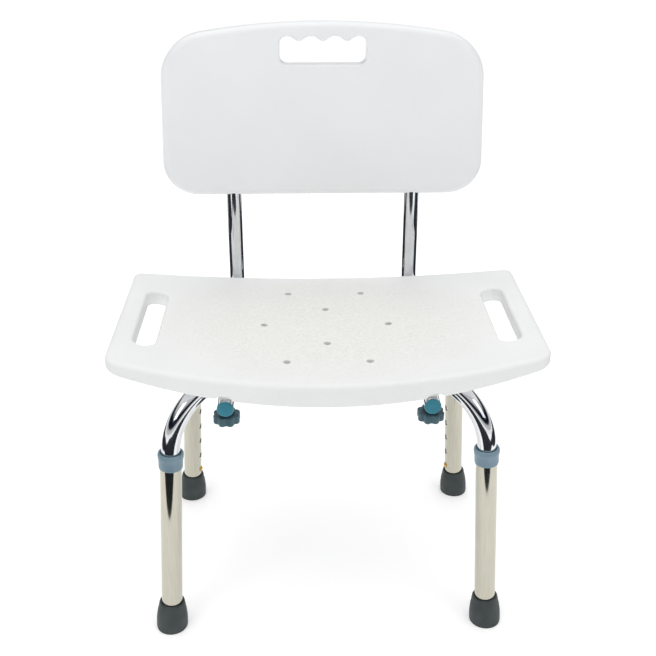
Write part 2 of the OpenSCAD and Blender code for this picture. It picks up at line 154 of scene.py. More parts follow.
def plate(name, outline, low, height, top_steps=(), foot_steps=()):
    """A slab on an outline whose two faces are then drawn in step by step."""
    rest()
    bpy.ops.mesh.primitive_circle_add(vertices=len(outline), radius=0.1, fill_type="NGON")
    piece = bpy.context.object
    piece.name = piece.data.name = name
    for corner, (x, y) in zip(piece.data.vertices, outline):
        corner.co = (x, y, low)
    bpy.ops.object.mode_set(mode="EDIT")
    bpy.ops.mesh.select_all(action="SELECT")
    bpy.ops.mesh.extrude_region_move(TRANSFORM_OT_translate={"value": (0, 0, height)})
    tidy(piece)
    for steps, up in ((top_steps, 1), (foot_steps, -1)):
        choose(piece, lambda face: face.normal.z * up > 0.9)
        for inset, rise in steps:
            bpy.ops.mesh.inset(thickness=inset, depth=rise, use_even_offset=True)
        rest()
    return piece


def join_shape(piece, tool, operation="DIFFERENCE"):
    """Cuts a tool out of a piece, or adds it, and removes the tool."""
    pick(piece)
    step = piece.modifiers.new("shape", "BOOLEAN")
    step.operation, step.object, step.solver = operation, tool, "EXACT"
    bpy.ops.object.modifier_apply(modifier=step.name)
    bpy.data.objects.remove(tool)


def rod(radius, length, place, turn=(0, 0, 0), corners=48):
    """A round cutter, centred on its place."""
    rest()
    bpy.ops.mesh.primitive_cylinder_add(
        vertices=corners, radius=radius, depth=length, location=place, rotation=turn,
    )
    return bpy.context.object


def shade(piece, angle=32):
    """Smooths what is round and keeps real edges sharp, each flat face keeping its own direction."""
    tidy(piece)
    pick(piece)
    bpy.ops.object.shade_smooth_by_angle(angle=math.radians(angle))
    step = piece.modifiers.new("face directions", "WEIGHTED_NORMAL")
    step.keep_sharp = True
    bpy.ops.object.modifier_apply(modifier=step.name)


def settle(piece, place=None):
    """Puts a piece in its place and leaves its object at the origin, unturned."""
    pick(piece)
    if place is not None:
        piece.matrix_world = place
    bpy.ops.object.transform_apply(location=True, rotation=True, scale=True)


def stadium(x, y, half_width, half_length, steps=14):
    """A slot's outline, long from front to back."""
    run = half_length - half_width
    return arc(x, y + run, half_width, 0, 180, steps) + arc(x, y - run, half_width, 180, 360, steps)


def seat_outline():
    """The seat from above: bowed front and rear edges, and rounder corners in front."""
    arc_y = bow_radius - seat_depth / 2
    front, rear = 0.022, 0.013
    front_x, rear_x = seat_half - front, seat_half - rear
    front_y = arc_y - math.sqrt((bow_radius - front) ** 2 - front_x ** 2)
    rear_y = math.sqrt((bow_radius - rear) ** 2 - rear_x ** 2) - arc_y
    front_turn = math.degrees(math.atan2(front_y - arc_y, front_x))
    rear_turn = math.degrees(math.atan2(rear_y + arc_y, rear_x))
    return (
        arc(0, arc_y, bow_radius, -180 - front_turn, front_turn, 40)[:-1]
        + arc(front_x, front_y, front, front_turn, 0, 10)
        + arc(rear_x, rear_y, rear, 0, rear_turn, 8)[:-1]
        + arc(0, -arc_y, bow_radius, rear_turn, 180 - rear_turn, 40)[:-1]
        + arc(-rear_x, rear_y, rear, 180 - rear_turn, 180, 8)
        + arc(-front_x, front_y, front, 180, 180 - front_turn, 10)[:-1]
    )


seat_foot = seat_top - seat_thickness
seat = plate("seat_shell", seat_outline(), seat_foot + 0.003, 0.0165, rounded(0.008, 6), rounded(0.003, 3))
for side in (-1, 1):
    mouth = plate("slot", stadium(side * slot_x, slot_y, 0.0170, 0.0765), seat_top, 0.006, (),
                  flared(0.0038, 5) + [(0.0008, 0.0115), (0.0001, 0.0012)])
    join_shape(seat, mouth)
    mouth = plate("slot", stadium(side * slot_x, slot_y, 0.0152, 0.0747), seat_foot - 0.006, 0.006,
                  flared(0.0022, 3) + [(0.0006, 0.0100)])
    join_shape(seat, mouth)
for x, y in ((0.0476, 0.0938), (-0.0476, 0.0938), (0.0476, -0.0938), (-0.0476, -0.0938),
             (0, 0.0469), (0, -0.0469), (0.0763, 0), (-0.0763, 0)):
    mouth = arc(x, y, drain_radius, 0, 345, 23)
    drain = plate("drain", mouth, seat_top, 0.004, (), flared(0.0012, 3) + [(0, 0.04)])
    join_shape(seat, drain)
# The dish: strips across the seat follow its curve. The underside is rounder, so the ends are thinner.
choose(seat, lambda face: True)
for i in range(-24, 25):
    bpy.ops.mesh.select_all(action="SELECT")
    bpy.ops.mesh.bisect(plane_co=(i * 0.010 + 0.0003, 0, 0), plane_no=(1, 0, 0))
rest()
for corner in seat.data.vertices:
    rise = dish_radius - math.sqrt(dish_radius ** 2 - corner.co.x ** 2)
    foot_rise = underside_radius - math.sqrt(underside_radius ** 2 - corner.co.x ** 2)
    corner.co.z += rise + (foot_rise - rise) * (seat_top - corner.co.z) / seat_thickness
# Channels: one under each crossed tube, a pocket where they cross, one round each back tube.
for turn in (-1, 1):
    angle = math.radians(crossing_turn * turn)
    join_shape(seat, rod(channel_radius, 0.372, (0, 0, run_height), (0, math.radians(90), angle), 64))
    rest()
    bpy.ops.mesh.primitive_cube_add(
        size=1, location=(0, 0, run_height - 0.025), rotation=(0, 0, angle), scale=(0.3719, 0.02318, 0.050),
    )
    join_shape(seat, bpy.context.object)
join_shape(seat, rod(0.038, 0.060, (0, 0, 0.3055), corners=64))
for side in (-1, 1):
    join_shape(seat, rod(0.014, 0.40, (side * back_x, 0, 0.3192), (math.radians(90), 0, 0), 64))
    boss = rod(0.009, 0.0264, (side * back_x, knob_y, 0.3258))
    join_shape(seat, boss, "UNION")
    join_shape(seat, rod(stud_hole, 0.020, (side * back_x, knob_y, 0.3165)))
seat.location.y = seat_middle
settle(seat)
shade(seat)


def linear(colour):
    """A colour written as sRGB hex, turned to the linear light that a shader takes."""
    parts = [int(colour[i:i + 2], 16) / 255 for i in (1, 3, 5)]
    return tuple(c / 12.92 if c <= 0.04045 else ((c + 0.055) / 1.055) ** 2.4 for c in parts) + (1.0,)


def add(material, kind, settings, links):
    """Adds one node: its settings by name, and the outputs that feed its inputs."""
    node = material.node_tree.nodes.new(kind)
    for name, value in settings.items():
        if name in node.inputs:
            node.inputs[name].default_value = value
        else:
            setattr(node, name, value)
    for name, source in links.items():
        material.node_tree.links.new(source, node.inputs[name])
    return node


def start_material(name):
    """An empty material, its shader and its object coordinates."""
    material = bpy.data.materials.new(name)
    material.use_nodes = True
    material.node_tree.nodes.clear()
    shader = add(material, "ShaderNodeBsdfPrincipled", {}, {})
    add(material, "ShaderNodeOutputMaterial", {}, {"Surface": shader.outputs["BSDF"]})
    coordinates = add(material, "ShaderNodeTexCoord", {}, {})
    return material, shader, coordinates.outputs["Object"]


def ramp(material, source, stops):
    """A colour ramp over a source, from (place, hex colour) stops."""
    node = add(material, "ShaderNodeValToRGB", {}, {"Fac": source})
    bar = node.color_ramp
    while len(bar.elements) < len(stops):
        bar.elements.new(0.5)
    for stop, (place, colour) in zip(bar.elements, stops):
        stop.position, stop.color = place, linear(colour)
    return node.outputs["Color"]


def feed(material, source, target):
    """Links an output to an input that several nodes of one kind may have."""
    material.node_tree.links.new(source, target)


# Grit-textured polyethylene: a matt, slightly warm white whose pebbled grain softens every
# highlight. The grain is deepest where one sits, between the drain holes, and fades outwards.
# The real grit is about 1 mm and wouldn't show, so it is drawn at 2.5 to 4 mm.
seat_white, shader, spot = start_material("blow_moulded_polyethylene_grained")
grain = add(seat_white, "ShaderNodeTexNoise", {"Scale": 1 / 0.0032, "Detail": 4.0, "Roughness": 0.62},
            {"Vector": spot})
cloud = add(seat_white, "ShaderNodeTexNoise", {"Scale": 1 / 0.090, "Detail": 3.0, "Roughness": 0.5},
            {"Vector": spot})
pits = add(seat_white, "ShaderNodeTexVoronoi", {"Scale": 1 / 0.0025, "Randomness": 1.0}, {"Vector": spot})
grain_half_x, grain_half_y = 0.250, 0.165
middle = add(
    seat_white, "ShaderNodeMapping",
    {"Location": (0, -seat_middle / grain_half_y, 0), "Scale": (1 / grain_half_x, 1 / grain_half_y, 0)},
    {"Vector": spot},
)
near = add(seat_white, "ShaderNodeTexGradient", {"gradient_type": "SPHERICAL"},
           {"Vector": middle.outputs["Vector"]})
depth = add(
    seat_white, "ShaderNodeMapRange",
    {"interpolation_type": "SMOOTHSTEP", "From Max": 0.55, "To Min": 0.15, "To Max": 1.0},
    {"Value": near.outputs["Fac"]},
)
plain = ramp(seat_white, cloud.outputs["Fac"], [(0.30, "#ebecec"), (0.70, "#f0f1f1")])
speckled = ramp(seat_white, grain.outputs["Fac"], [(0.36, "#e6e6e0"), (0.52, "#ecece8"), (0.68, "#f2f2ef")])
tint = add(seat_white, "ShaderNodeMixRGB", {},
           {"Fac": depth.outputs["Result"], "Color1": plain, "Color2": speckled})
feed(seat_white, tint.outputs["Color"], shader.inputs["Base Color"])
rough = add(seat_white, "ShaderNodeMapRange", {"To Min": 0.44, "To Max": 0.62},
            {"Value": grain.outputs["Fac"]})
feed(seat_white, rough.outputs["Result"], shader.inputs["Roughness"])
relief = add(seat_white, "ShaderNodeMath", {"operation": "MULTIPLY"}, {})
feed(seat_white, grain.outputs["Fac"], relief.inputs[0])
feed(seat_white, depth.outputs["Result"], relief.inputs[1])
pebble = add(seat_white, "ShaderNodeBump", {"Strength": 0.36, "Distance": 0.0005},
             {"Height": relief.outputs["Value"]})
pebble = add(seat_white, "ShaderNodeBump", {"Strength": 0.12, "Distance": 0.0002},
             {"Height": pits.outputs["Distance"], "Normal": pebble.outputs["Normal"]})
feed(seat_white, pebble.outputs["Normal"], shader.inputs["Normal"])
shader.inputs["IOR"].default_value = 1.5
shader.inputs["Subsurface Weight"].default_value = 0.0


def dress(piece, material, body, slot, *stands_for):
    """Gives a finished piece its material and its body, and hides the CAD nodes that it stands for. The slot
    is not used.
    """
    piece.data.materials.clear()
    piece.data.materials.append(material)
    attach(piece, body)
    if stands_for:
        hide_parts(*stands_for)


dress(seat, seat_white, "seat_and_frame", "seat_shell", "seat_panel")

# ---- Brass inserts in the seat ----
# Threaded bushes of free-cutting brass, moulded into the seat for the frame screws and the
# knob studs. Only their mouths show from below, so the CAD solids stay.


def metal(name, dark, pale, grain_size, stretch, rough, depth):
    """A metal whose colour and gloss vary along drawn or turned marks.

    A stretch below 1 lengthens the marks along that axis.
    """
    material, shader, spot = start_material(name)
    place = add(material, "ShaderNodeMapping", {"Scale": stretch}, {"Vector": spot})
    marks = add(material, "ShaderNodeTexNoise", {"Scale": 1 / grain_size, "Detail": 3.0, "Roughness": 0.55},
                {"Vector": place.outputs["Vector"]})
    tint = ramp(material, marks.outputs["Fac"], [(0.25, dark), (0.75, pale)])
    feed(material, tint, shader.inputs["Base Color"])
    gloss = add(material, "ShaderNodeMapRange", {"To Min": rough[0], "To Max": rough[1]},
                {"Value": marks.outputs["Fac"]})
    feed(material, gloss.outputs["Result"], shader.inputs["Roughness"])
    dents = add(material, "ShaderNodeBump", {"Strength": depth, "Distance": 0.0001},
                {"Height": marks.outputs["Fac"]})
    feed(material, dents.outputs["Normal"], shader.inputs["Normal"])
    shader.inputs["Metallic"].default_value = 1.0
    return material


def carry(node, material):
    """Keeps a CAD node and gives it a better material."""
    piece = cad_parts[node]
    piece.data.materials.clear()
    piece.data.materials.append(material)


# Turned brass: yellow, with fine rings from the lathe.
turned_brass = metal("turned_brass", "#b18a3c", "#d9b566", 0.0012, (0.3, 0.3, 3), (0.22, 0.38), 0.2)
carry("seat_inserts", turned_brass)

# ---- Crossed frame tubes ----
# Two aluminium tubes, each bent down at both ends into a diagonal pair of legs and pressed to
# a flat oval in the middle, where one laps over the other. They are polished to a mirror.

frame_radius, wall = 0.0111, 0.0012
splay = math.radians(3.9)
frame_bend, frame_turn = 0.077, math.radians(86.1)
neck_start, crossing_lift = 0.036, 0.00555
button_height, hole_radius, hole_cut = 0.049, 0.0041, 0.012
hole_side = {1: 162, -1: 198}
foot_reach = 0.240
bend_height = run_height - frame_bend * (1 - math.sin(splay))
run_half = foot_reach - bend_height * math.tan(splay) - frame_bend * math.cos(splay)


def open_ring(name, radius, place, turn, corners=56):
    """The first ring of a tube, open in edit mode and selected."""
    rest()
    bpy.ops.mesh.primitive_circle_add(
        vertices=corners, radius=radius, fill_type="NOTHING", location=place, rotation=turn,
    )
    piece = bpy.context.object
    piece.name = piece.data.name = name
    bpy.ops.object.transform_apply(location=True, rotation=True, scale=True)
    bpy.ops.object.mode_set(mode="EDIT")
    bpy.ops.mesh.select_mode(type="VERT")
    bpy.ops.mesh.select_all(action="SELECT")
    return piece


def draw_out(step):
    """Draws the open ring out along a straight step."""
    bpy.ops.mesh.extrude_region_move(TRANSFORM_OT_translate={"value": step})


def give_wall(piece, thickness):
    """Turns a tube's skin outwards and gives it its wall, inwards."""
    tidy(piece)
    pick(piece)
    step = piece.modifiers.new("wall", "SOLIDIFY")
    step.thickness, step.offset = thickness, -1
    bpy.ops.object.modifier_apply(modifier=step.name)


def cross_tube(name, lift):
    """One bent tube in its own plane, from foot to foot, its pressed middle moved by lift."""
    lean = (math.sin(splay), 0, math.cos(splay))
    low = 0.024
    tube = open_ring(name, frame_radius, (-foot_reach + low * lean[0], 0, low * lean[2]), (0, splay, 0))
    length = bend_height / math.cos(splay) - low
    draw_out((length * lean[0], 0, length * lean[2]))
    bend_z = run_height - frame_bend
    bpy.ops.mesh.spin(steps=24, angle=-frame_turn, center=(-run_half, 0, bend_z), axis=(0, 1, 0))
    draw_out((run_half - neck_start, 0, 0))
    # The neck, the pressed oval and the other neck.
    stations = [
        -neck_start, -0.033, -0.030, -0.027, -0.024, -0.021,
        0.021, 0.024, 0.027, 0.030, 0.033, neck_start,
    ]
    pressed = [0, 0.10, 0.35, 0.65, 0.90, 1, 1, 0.90, 0.65, 0.35, 0.10, 0]
    for (x, p), (next_x, q) in zip(zip(stations, pressed), zip(stations[1:], pressed[1:])):
        draw_out((next_x - x, 0, lift * (q - p)))
        wide = (1 + 0.26 * q) / (1 + 0.26 * p)
        flat = (1 - 0.51 * q) / (1 - 0.51 * p)
        bpy.ops.transform.resize(value=(1, wide, flat), center_override=(next_x, 0, run_height + lift * q))
    draw_out((run_half - neck_start, 0, 0))
    bpy.ops.mesh.spin(steps=24, angle=-frame_turn, center=(run_half, 0, bend_z), axis=(0, 1, 0))
    draw_out((length * lean[0], 0, -length * lean[2]))
    give_wall(tube, wall)
    return tube


# Mirror-polished, clear-anodised aluminium: a bright mirror with the faint haze of its clear skin.
bright_tube = metal("mirror_polished_aluminium", "#d3d5d8", "#e6e7e9", 0.0200, (1, 1, 1), (0.05, 0.11), 0.02)

for name, way in (("cross_tube_left", -1), ("cross_tube_right", 1)):
    tube = cross_tube("bent_" + name, way * crossing_lift)
    for end in (-1, 1):
        # The hole for the snap button, 18 degrees off the tube's own plane, towards the middle of the chair.
        side = hole_side[end]
        if way < 0:
            side = side - 360
        aim = (
            Matrix.Rotation(math.radians(90 - 90 * end), 4, "Z")
            @ Matrix.Translation((foot_reach, 0, 0))
            @ Matrix.Rotation(-splay, 4, "Y")
            @ Matrix.Translation((0, 0, button_height))
            @ Matrix.Rotation(math.radians(side), 4, "Z")
            @ Matrix.Translation((hole_cut, 0, 0))
            @ Matrix.Rotation(math.radians(90), 4, "Y")
        )
        cutter = rod(hole_radius, hole_cut, (0, 0, 0), corners=32)
        cutter.matrix_world = aim
        join_shape(tube, cutter)
    turn = Matrix.Rotation(math.radians(way * crossing_turn), 4, "Z")
    settle(tube, Matrix.Translation((0, seat_middle, 0)) @ turn)
    shade(tube, 40)
    dress(tube, bright_tube, "seat_and_frame", "bright_tube", name)

# ---- Frame screws ----
# Five pan-head steel screws, zinc plated, go up through the tubes into the brass inserts.


def turned(name, outline, steps=48):
    """A piece turned on its own axis from a closed outline of (radius, height) points."""
    rest()
    bpy.ops.mesh.primitive_circle_add(vertices=len(outline), radius=0.1, fill_type="NOTHING")
    piece = bpy.context.object
    piece.name = piece.data.name = name
    for corner, (radius, height) in zip(piece.data.vertices, outline):
        corner.co = (radius, 0, height)
    bpy.ops.object.mode_set(mode="EDIT")
    bpy.ops.mesh.select_all(action="SELECT")
    bpy.ops.mesh.spin(steps=steps, angle=math.radians(360), center=(0, 0, 0), axis=(0, 0, 1))
    bpy.ops.mesh.select_all(action="SELECT")
    bpy.ops.mesh.remove_doubles(threshold=weld)
    bpy.ops.mesh.delete_loose(use_verts=True, use_edges=True, use_faces=False)
    bpy.ops.mesh.select_all(action="SELECT")
    bpy.ops.mesh.normals_make_consistent(inside=False)
    rest()
    return piece


def again(piece, name):
    """A copy of a piece with its own mesh."""
    copy = piece.copy()
    copy.data = piece.data.copy()
    copy.name = copy.data.name = name
    bpy.context.scene.collection.objects.link(copy)
    return copy


def pan_screw(name, head_radius, head, shank_radius, length):
    """A pan-head screw pointing up, its head's underside at zero, with a cross recess."""
    dome = [(head_radius * math.cos(a), -head * (0.35 + 0.65 * math.sin(a))) for a in (0.35, 0.7, 1.05, 1.3)]
    outline = [(0, -head), *reversed(dome), (head_radius, -head * 0.35), (head_radius, -head * 0.06),
               (head_radius * 0.96, 0), (shank_radius, 0), (shank_radius, length), (0, length)]
    screw = turned(name, outline, 36)
    for turn in (0, 90):
        rest()
        bpy.ops.mesh.primitive_cube_add(size=1, location=(0, 0, -head), rotation=(0, 0, math.radians(turn)),
                                        scale=(head_radius * 1.05, head_radius * 0.22, head * 1.1))
        join_shape(screw, bpy.context.object)
    shade(screw, 35)
    return screw


def gather(name, parts):
    """Joins like parts into one piece."""
    pick(parts[0])
    for part in parts[1:]:
        part.select_set(True)
    bpy.ops.object.join()
    parts[0].name = parts[0].data.name = name
    return parts[0]


# Zinc plate: a cool, slightly cloudy grey with a soft shine.
zinc_plate = metal("zinc_plated_steel", "#a9adb0", "#ced2d4", 0.0015, (1, 1, 1), (0.24, 0.38), 0.12)
first = pan_screw("frame_screw", 0.0055, 0.0036, 0.003, 0.022)
screws = []
screw_reach, screw_z = 0.110, run_height - frame_radius - 0.0001
for reach, way in ((0, 0), (screw_reach, 1), (-screw_reach, 1), (screw_reach, -1), (-screw_reach, -1)):
    angle = math.radians(way * crossing_turn)
    screws.append(again(first, "frame_screw"))
    x, y = reach * math.cos(angle), reach * math.sin(angle) + seat_middle
    settle(screws[-1], Matrix.Translation((x, y, screw_z)))
bpy.data.objects.remove(first)
dress(gather("frame_pan_screws", screws), zinc_plate, "seat_and_frame", "steel_screws", "frame_screws")

# ---- Back tubes ----
# Two polished aluminium tubes run back under the seat, bend up behind it and stand in the
# backrest's sockets, leaning back two degrees.

back_radius, back_run, back_front = 0.0095, 0.303, -0.1215
back_lean, back_bend, back_y = math.radians(2), 0.057, 0.1634
back_bend_y = back_y - back_bend * math.cos(back_lean)
back_bend_top = back_run + back_bend * (1 - math.sin(back_lean))
panel_low = 0.4622

for side, name in ((-1, "left"), (1, "right")):
    start = (side * back_x, back_front, back_run)
    tube = open_ring("bent_back_tube_" + name, back_radius, start, (math.radians(90), 0, 0), 48)
    draw_out((0, back_bend_y - back_front, 0))
    centre = (side * back_x, back_bend_y, back_run + back_bend)
    bpy.ops.mesh.spin(steps=24, angle=back_lean - math.radians(90), center=centre, axis=(1, 0, 0))
    upright = panel_low - back_bend_top + 0.150
    draw_out((0, upright * math.sin(back_lean), upright * math.cos(back_lean)))
    give_wall(tube, wall)
    join_shape(tube, rod(0.0033, 0.040, (side * back_x, knob_y, back_run), corners=32))
    tube.location.y = seat_middle
    settle(tube)
    shade(tube, 40)
    dress(tube, bright_tube, "seat_and_frame", "bright_tube", "back_tube_" + name)

# ---- End plugs ----
# Teal polyethylene caps push into the front ends of the back tubes. The rim is a hair
# wider than the tube.


def moulded(name, deep, pale, mottle, rough, grain_size, depth):
    """A moulded plastic or rubber: a mottled colour, and a skin whose gloss and height follow one grain."""
    material, shader, spot = start_material(name)
    cloud = add(material, "ShaderNodeTexNoise", {"Scale": 1 / mottle, "Detail": 3.0, "Roughness": 0.5},
                {"Vector": spot})
    grain = add(material, "ShaderNodeTexNoise", {"Scale": 1 / grain_size, "Detail": 4.0, "Roughness": 0.6},
                {"Vector": spot})
    tint = ramp(material, cloud.outputs["Fac"], [(0.30, deep), (0.70, pale)])
    feed(material, tint, shader.inputs["Base Color"])
    gloss = add(material, "ShaderNodeMapRange", {"To Min": rough[0], "To Max": rough[1]},
                {"Value": grain.outputs["Fac"]})
    feed(material, gloss.outputs["Result"], shader.inputs["Roughness"])
    skin = add(material, "ShaderNodeBump", {"Strength": depth, "Distance": 0.0002},
               {"Height": grain.outputs["Fac"]})
    feed(material, skin.outputs["Normal"], shader.inputs["Normal"])
    shader.inputs["IOR"].default_value = 1.5
    return material


# Injection-moulded teal polyethylene: an even colour, waxy and half glossy.
teal_cap = moulded("teal_polyethylene", "#2b7a8e", "#338699", 0.012, (0.30, 0.42), 0.0016, 0.10)
cap = turned("end_plug", [
    (0, 0), (0.0078, 0), (0.0087, 0.0003), (0.0092, 0.0009), (0.0095, 0.0016), (0.0098, 0.0025),
    (0.0083, 0.0025), (0.0083, 0.0115), (0, 0.0115),
], 48)
cap_face = -0.124
shade(cap, 40)
for side, name in ((-1, "left"), (1, "right")):
    plug = again(cap, "plug_" + name)
    place = Matrix.Translation((side * back_x, cap_face + seat_middle, back_run))
    settle(plug, place @ Matrix.Rotation(math.radians(-90), 4, "X"))
    dress(plug, teal_cap, "seat_and_frame", "plug_plastic", "end_plug_" + name)
bpy.data.objects.remove(cap)

# ---- Tube saddles and their screws ----
# Grey polypropylene saddles, screwed up into the seat, hold the back tubes near the rear.
# The CAD solids have the right shape and stay; their screws get real heads.

# Moulded polypropylene: blue-grey, smooth, with a soft semi-gloss.
grey_plastic = moulded("blue_grey_polypropylene", "#6b8592", "#7992a0", 0.020, (0.26, 0.38), 0.0020, 0.08)
carry("tube_saddle_left", grey_plastic)
carry("tube_saddle_right", grey_plastic)
first = pan_screw("saddle_screw", 0.004, 0.0025, 0.0018, 0.016)
screws = []
saddle_y, saddle_screw_x = 0.038, 0.016
saddle_screw_z = run_height + channel_radius - 0.0171
for side in (-1, 1):
    for end in (-1, 1):
        screws.append(again(first, "saddle_screw"))
        x = side * back_x + end * saddle_screw_x
        settle(screws[-1], Matrix.Translation((x, saddle_y + seat_middle, saddle_screw_z)))
bpy.data.objects.remove(first)
dress(gather("saddle_pan_screws", screws), zinc_plate, "seat_and_frame", "steel_screws", "saddle_screws")

# ---- Backrest ----
# A hollow blow-moulded panel of the same white polyethylene from a polished mould, so it is
# smoother and shinier than the seat. A scalloped hand hold is cut through near the top.

back_width, back_height, back_thick = 0.408, 0.219, 0.025
back_screw_heights = (0.035, 0.110)


def back_outline():
    """The backrest from the front: a bowed top, round shoulders, and a slightly wider foot."""
    top_bow, shoulder, low_corner, low_half = 0.950, 0.060, 0.044, back_width / 2 + 0.004
    sx, arc_y = back_width / 2 - shoulder, back_height - top_bow
    sy = arc_y + math.sqrt((top_bow - shoulder) ** 2 - sx ** 2)
    bow_end = math.degrees(math.atan2(sy - arc_y, sx))
    lx = low_half - low_corner
    return (
        arc(lx, low_corner, low_corner, -90, 0, 16)
        + arc(sx, sy, shoulder, 0, bow_end, 18)[:-1]
        + arc(0, arc_y, top_bow, bow_end, 180 - bow_end, 32)
        + arc(-sx, sy, shoulder, 180 - bow_end, 180, 18)[1:]
        + arc(-lx, low_corner, low_corner, 180, 270, 16)
    )


def grip_outline():
    """The hand hold: a rounded slot with three finger bumps in its upper edge."""
    half, corner = 0.05425, 0.00925
    top = back_height - 0.017
    low = top - 0.0345
    bump_pitch, bump_depth = 0.030, 0.006
    bumps = []
    for i in range(-30, 31):
        x = -i * 0.0015
        wave = (1 + math.cos(2 * math.pi * x / bump_pitch)) / 2
        bumps.append((x, top - bump_depth * wave ** 1.5))
    return (
        arc(half - corner, low + corner, corner, -90, 0, 8)
        + arc(half - corner, top - corner, corner, 0, 90, 8)[:-1]
        + bumps
        + arc(corner - half, top - corner, corner, 90, 180, 8)[1:]
        + arc(corner - half, low + corner, corner, 180, 270, 8)
    )


front_round, rear_round = 0.009, 0.007
panel = plate(
    "backrest_shell", back_outline(), -back_thick / 2 + rear_round, back_thick - front_round - rear_round,
    rounded(front_round, 7), rounded(rear_round, 5),
)
join_shape(panel, plate("grip", grip_outline(), -0.03, 0.06))
pick(panel)
rim = panel.modifiers.new("rolled rim", "BEVEL")
rim.width, rim.segments, rim.limit_method, rim.angle_limit = 0.0028, 5, "ANGLE", math.radians(60)
bpy.ops.object.modifier_apply(modifier=rim.name)
for side in (-1, 1):
    join_shape(panel, rod(0.00955, 0.160, (side * back_x, 0.0712, 0), (math.radians(90), 0, 0)))
    for height in back_screw_heights:
        join_shape(panel, rod(0.0045, 0.006, (side * back_x, height, -back_thick / 2 + 0.0006), corners=32))
up_lean = panel_low - back_bend_top
panel_y = back_y + up_lean * math.sin(back_lean) + seat_middle
panel_z = back_bend_top + up_lean * math.cos(back_lean)
panel_turn = Matrix.Rotation(math.radians(90) - back_lean, 4, "X")
panel_place = Matrix.Translation((0, panel_y, panel_z)) @ panel_turn
settle(panel, panel_place)
shade(panel)

# Polished polyethylene: a cool white with a broad satin sheen and only the faintest ripple.
back_white = moulded(
    "blow_moulded_polyethylene_satin", "#eff0f1", "#f3f4f5", 0.120, (0.30, 0.38), 0.0120, 0.02,
)
dress(panel, back_white, "seat_and_frame", "back_shell", "backrest_panel")

# ---- Backrest screws ----
# Four zinc-plated self-tapping screws go in from behind, two to each back tube.

first = pan_screw("back_screw", 0.0042, 0.0023, 0.002, 0.0152)
screws = []
for side in (-1, 1):
    for height in back_screw_heights:
        screws.append(again(first, "back_screw"))
        seated = Matrix.Translation((side * back_x, height, -back_thick / 2 + 0.0023))
        settle(screws[-1], panel_place @ seated)
bpy.data.objects.remove(first)
dress(gather("backrest_pan_screws", screws), zinc_plate, "seat_and_frame", "steel_screws", "backrest_screws")

# ---- Hand knobs ----
# Eight-lobed knobs of teal polyethylene turn on steel studs that screw up through the back
# tubes into the seat. A rubber washer under each tube seats the knob square.


def lobed_outline():
    """A round core with eight round lobes standing out of it."""
    core, lobe_centre, lobe_radius = 0.0135, 0.0114, 0.0046
    points = []
    for i in range(96):
        a = 2 * math.pi * i / 96
        reach = core
        for lobe in range(8):
            off = (a - math.radians(lobe * 45 + 22.5) + math.pi) % (2 * math.pi) - math.pi
            side = lobe_centre * math.sin(off)
            if abs(side) < lobe_radius and math.cos(off) > 0:
                reach = max(reach, lobe_centre * math.cos(off) + math.sqrt(lobe_radius ** 2 - side ** 2))
        points.append((reach * math.cos(a), reach * math.sin(a)))
    return points


# Injection-moulded dark teal: half matt, so the lobes read as soft ridges.
knob_teal = moulded("dark_teal_polyethylene", "#3a5862", "#456772", 0.015, (0.34, 0.48), 0.0018, 0.12)
# Plated thread: zinc with the ridges of a 1 mm pitch thread, drawn on the plain stud. Painted shade: the
# colour is darker in the thread's grooves and paler on its crests.
thread_steel, shader, spot = start_material("zinc_plated_thread")
pitch = add(
    thread_steel, "ShaderNodeTexWave",
    {"wave_type": "BANDS", "bands_direction": "Z", "Scale": 0.314 / 0.001, "Distortion": 0.0},
    {"Vector": spot},
)
# Painted shade and highlight: dark in the thread's grooves, pale on its crests.
tint = ramp(thread_steel, pitch.outputs["Fac"], [(0.2, "#8d9194"), (0.8, "#d2d5d7")])
feed(thread_steel, tint, shader.inputs["Base Color"])
worn = add(thread_steel, "ShaderNodeMapRange", {"To Min": 0.42, "To Max": 0.22},
           {"Value": pitch.outputs["Fac"]})
feed(thread_steel, worn.outputs["Result"], shader.inputs["Roughness"])
ridges = add(thread_steel, "ShaderNodeBump", {"Strength": 0.7, "Distance": 0.0004},
             {"Height": pitch.outputs["Fac"]})
feed(thread_steel, ridges.outputs["Normal"], shader.inputs["Normal"])
shader.inputs["Metallic"].default_value = 1.0

knob_low, knob_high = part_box("knob_left")
knob_z, knob_tall = knob_low.z, knob_high.z - knob_low.z
top_round, foot_round = 0.0016, 0.0024
first = plate(
    "knob", lobed_outline(), foot_round, knob_tall - top_round - foot_round,
    rounded(top_round, 4), rounded(foot_round, 5),
)
choose(first, lambda face: face.normal.z < -0.95 and face.area > 0.0001)
bpy.ops.mesh.inset(thickness=0.0020, depth=0, use_even_offset=True)
bpy.ops.mesh.inset(thickness=0.0012, depth=-0.0009, use_even_offset=True)
rest()
join_shape(first, rod(stud_hole, 0.0182, (0, 0, knob_tall), corners=32))
shade(first, 35)
# Washer rubber: near black, dry and matt.
washer_rubber = moulded("black_washer_rubber", "#262a2b", "#303435", 0.010, (0.62, 0.78), 0.0014, 0.25)
for side, name in ((-1, "left"), (1, "right")):
    knob = again(first, "hand_knob_" + name)
    settle(knob, Matrix.Translation((side * back_x, knob_y + seat_middle, knob_z)))
    dress(knob, knob_teal, "knob_" + name, "knob_plastic", "knob_" + name)
    carry("knob_stud_" + name, thread_steel)
    carry("saddle_washer_" + name, washer_rubber)
bpy.data.objects.remove(first)

# ---- Legs ----
# Each leg is a polished aluminium tube that slides over the bent tube. A snap button inside
# catches one of seven holes an inch apart, punched on the side that faces under the chair.

leg_radius, leg_bore, leg_low, leg_top = 0.0127, 0.0114, 0.008, 0.248
hole_pitch, hole_count, hole_margin = 0.0254, 7, 0.0065
corners_of_chair = (
    ("front_left", 180 + crossing_turn, hole_side[-1]), ("front_right", -crossing_turn, -hole_side[-1]),
    ("rear_left", 180 - crossing_turn, -hole_side[1]), ("rear_right", crossing_turn, hole_side[1]),
)


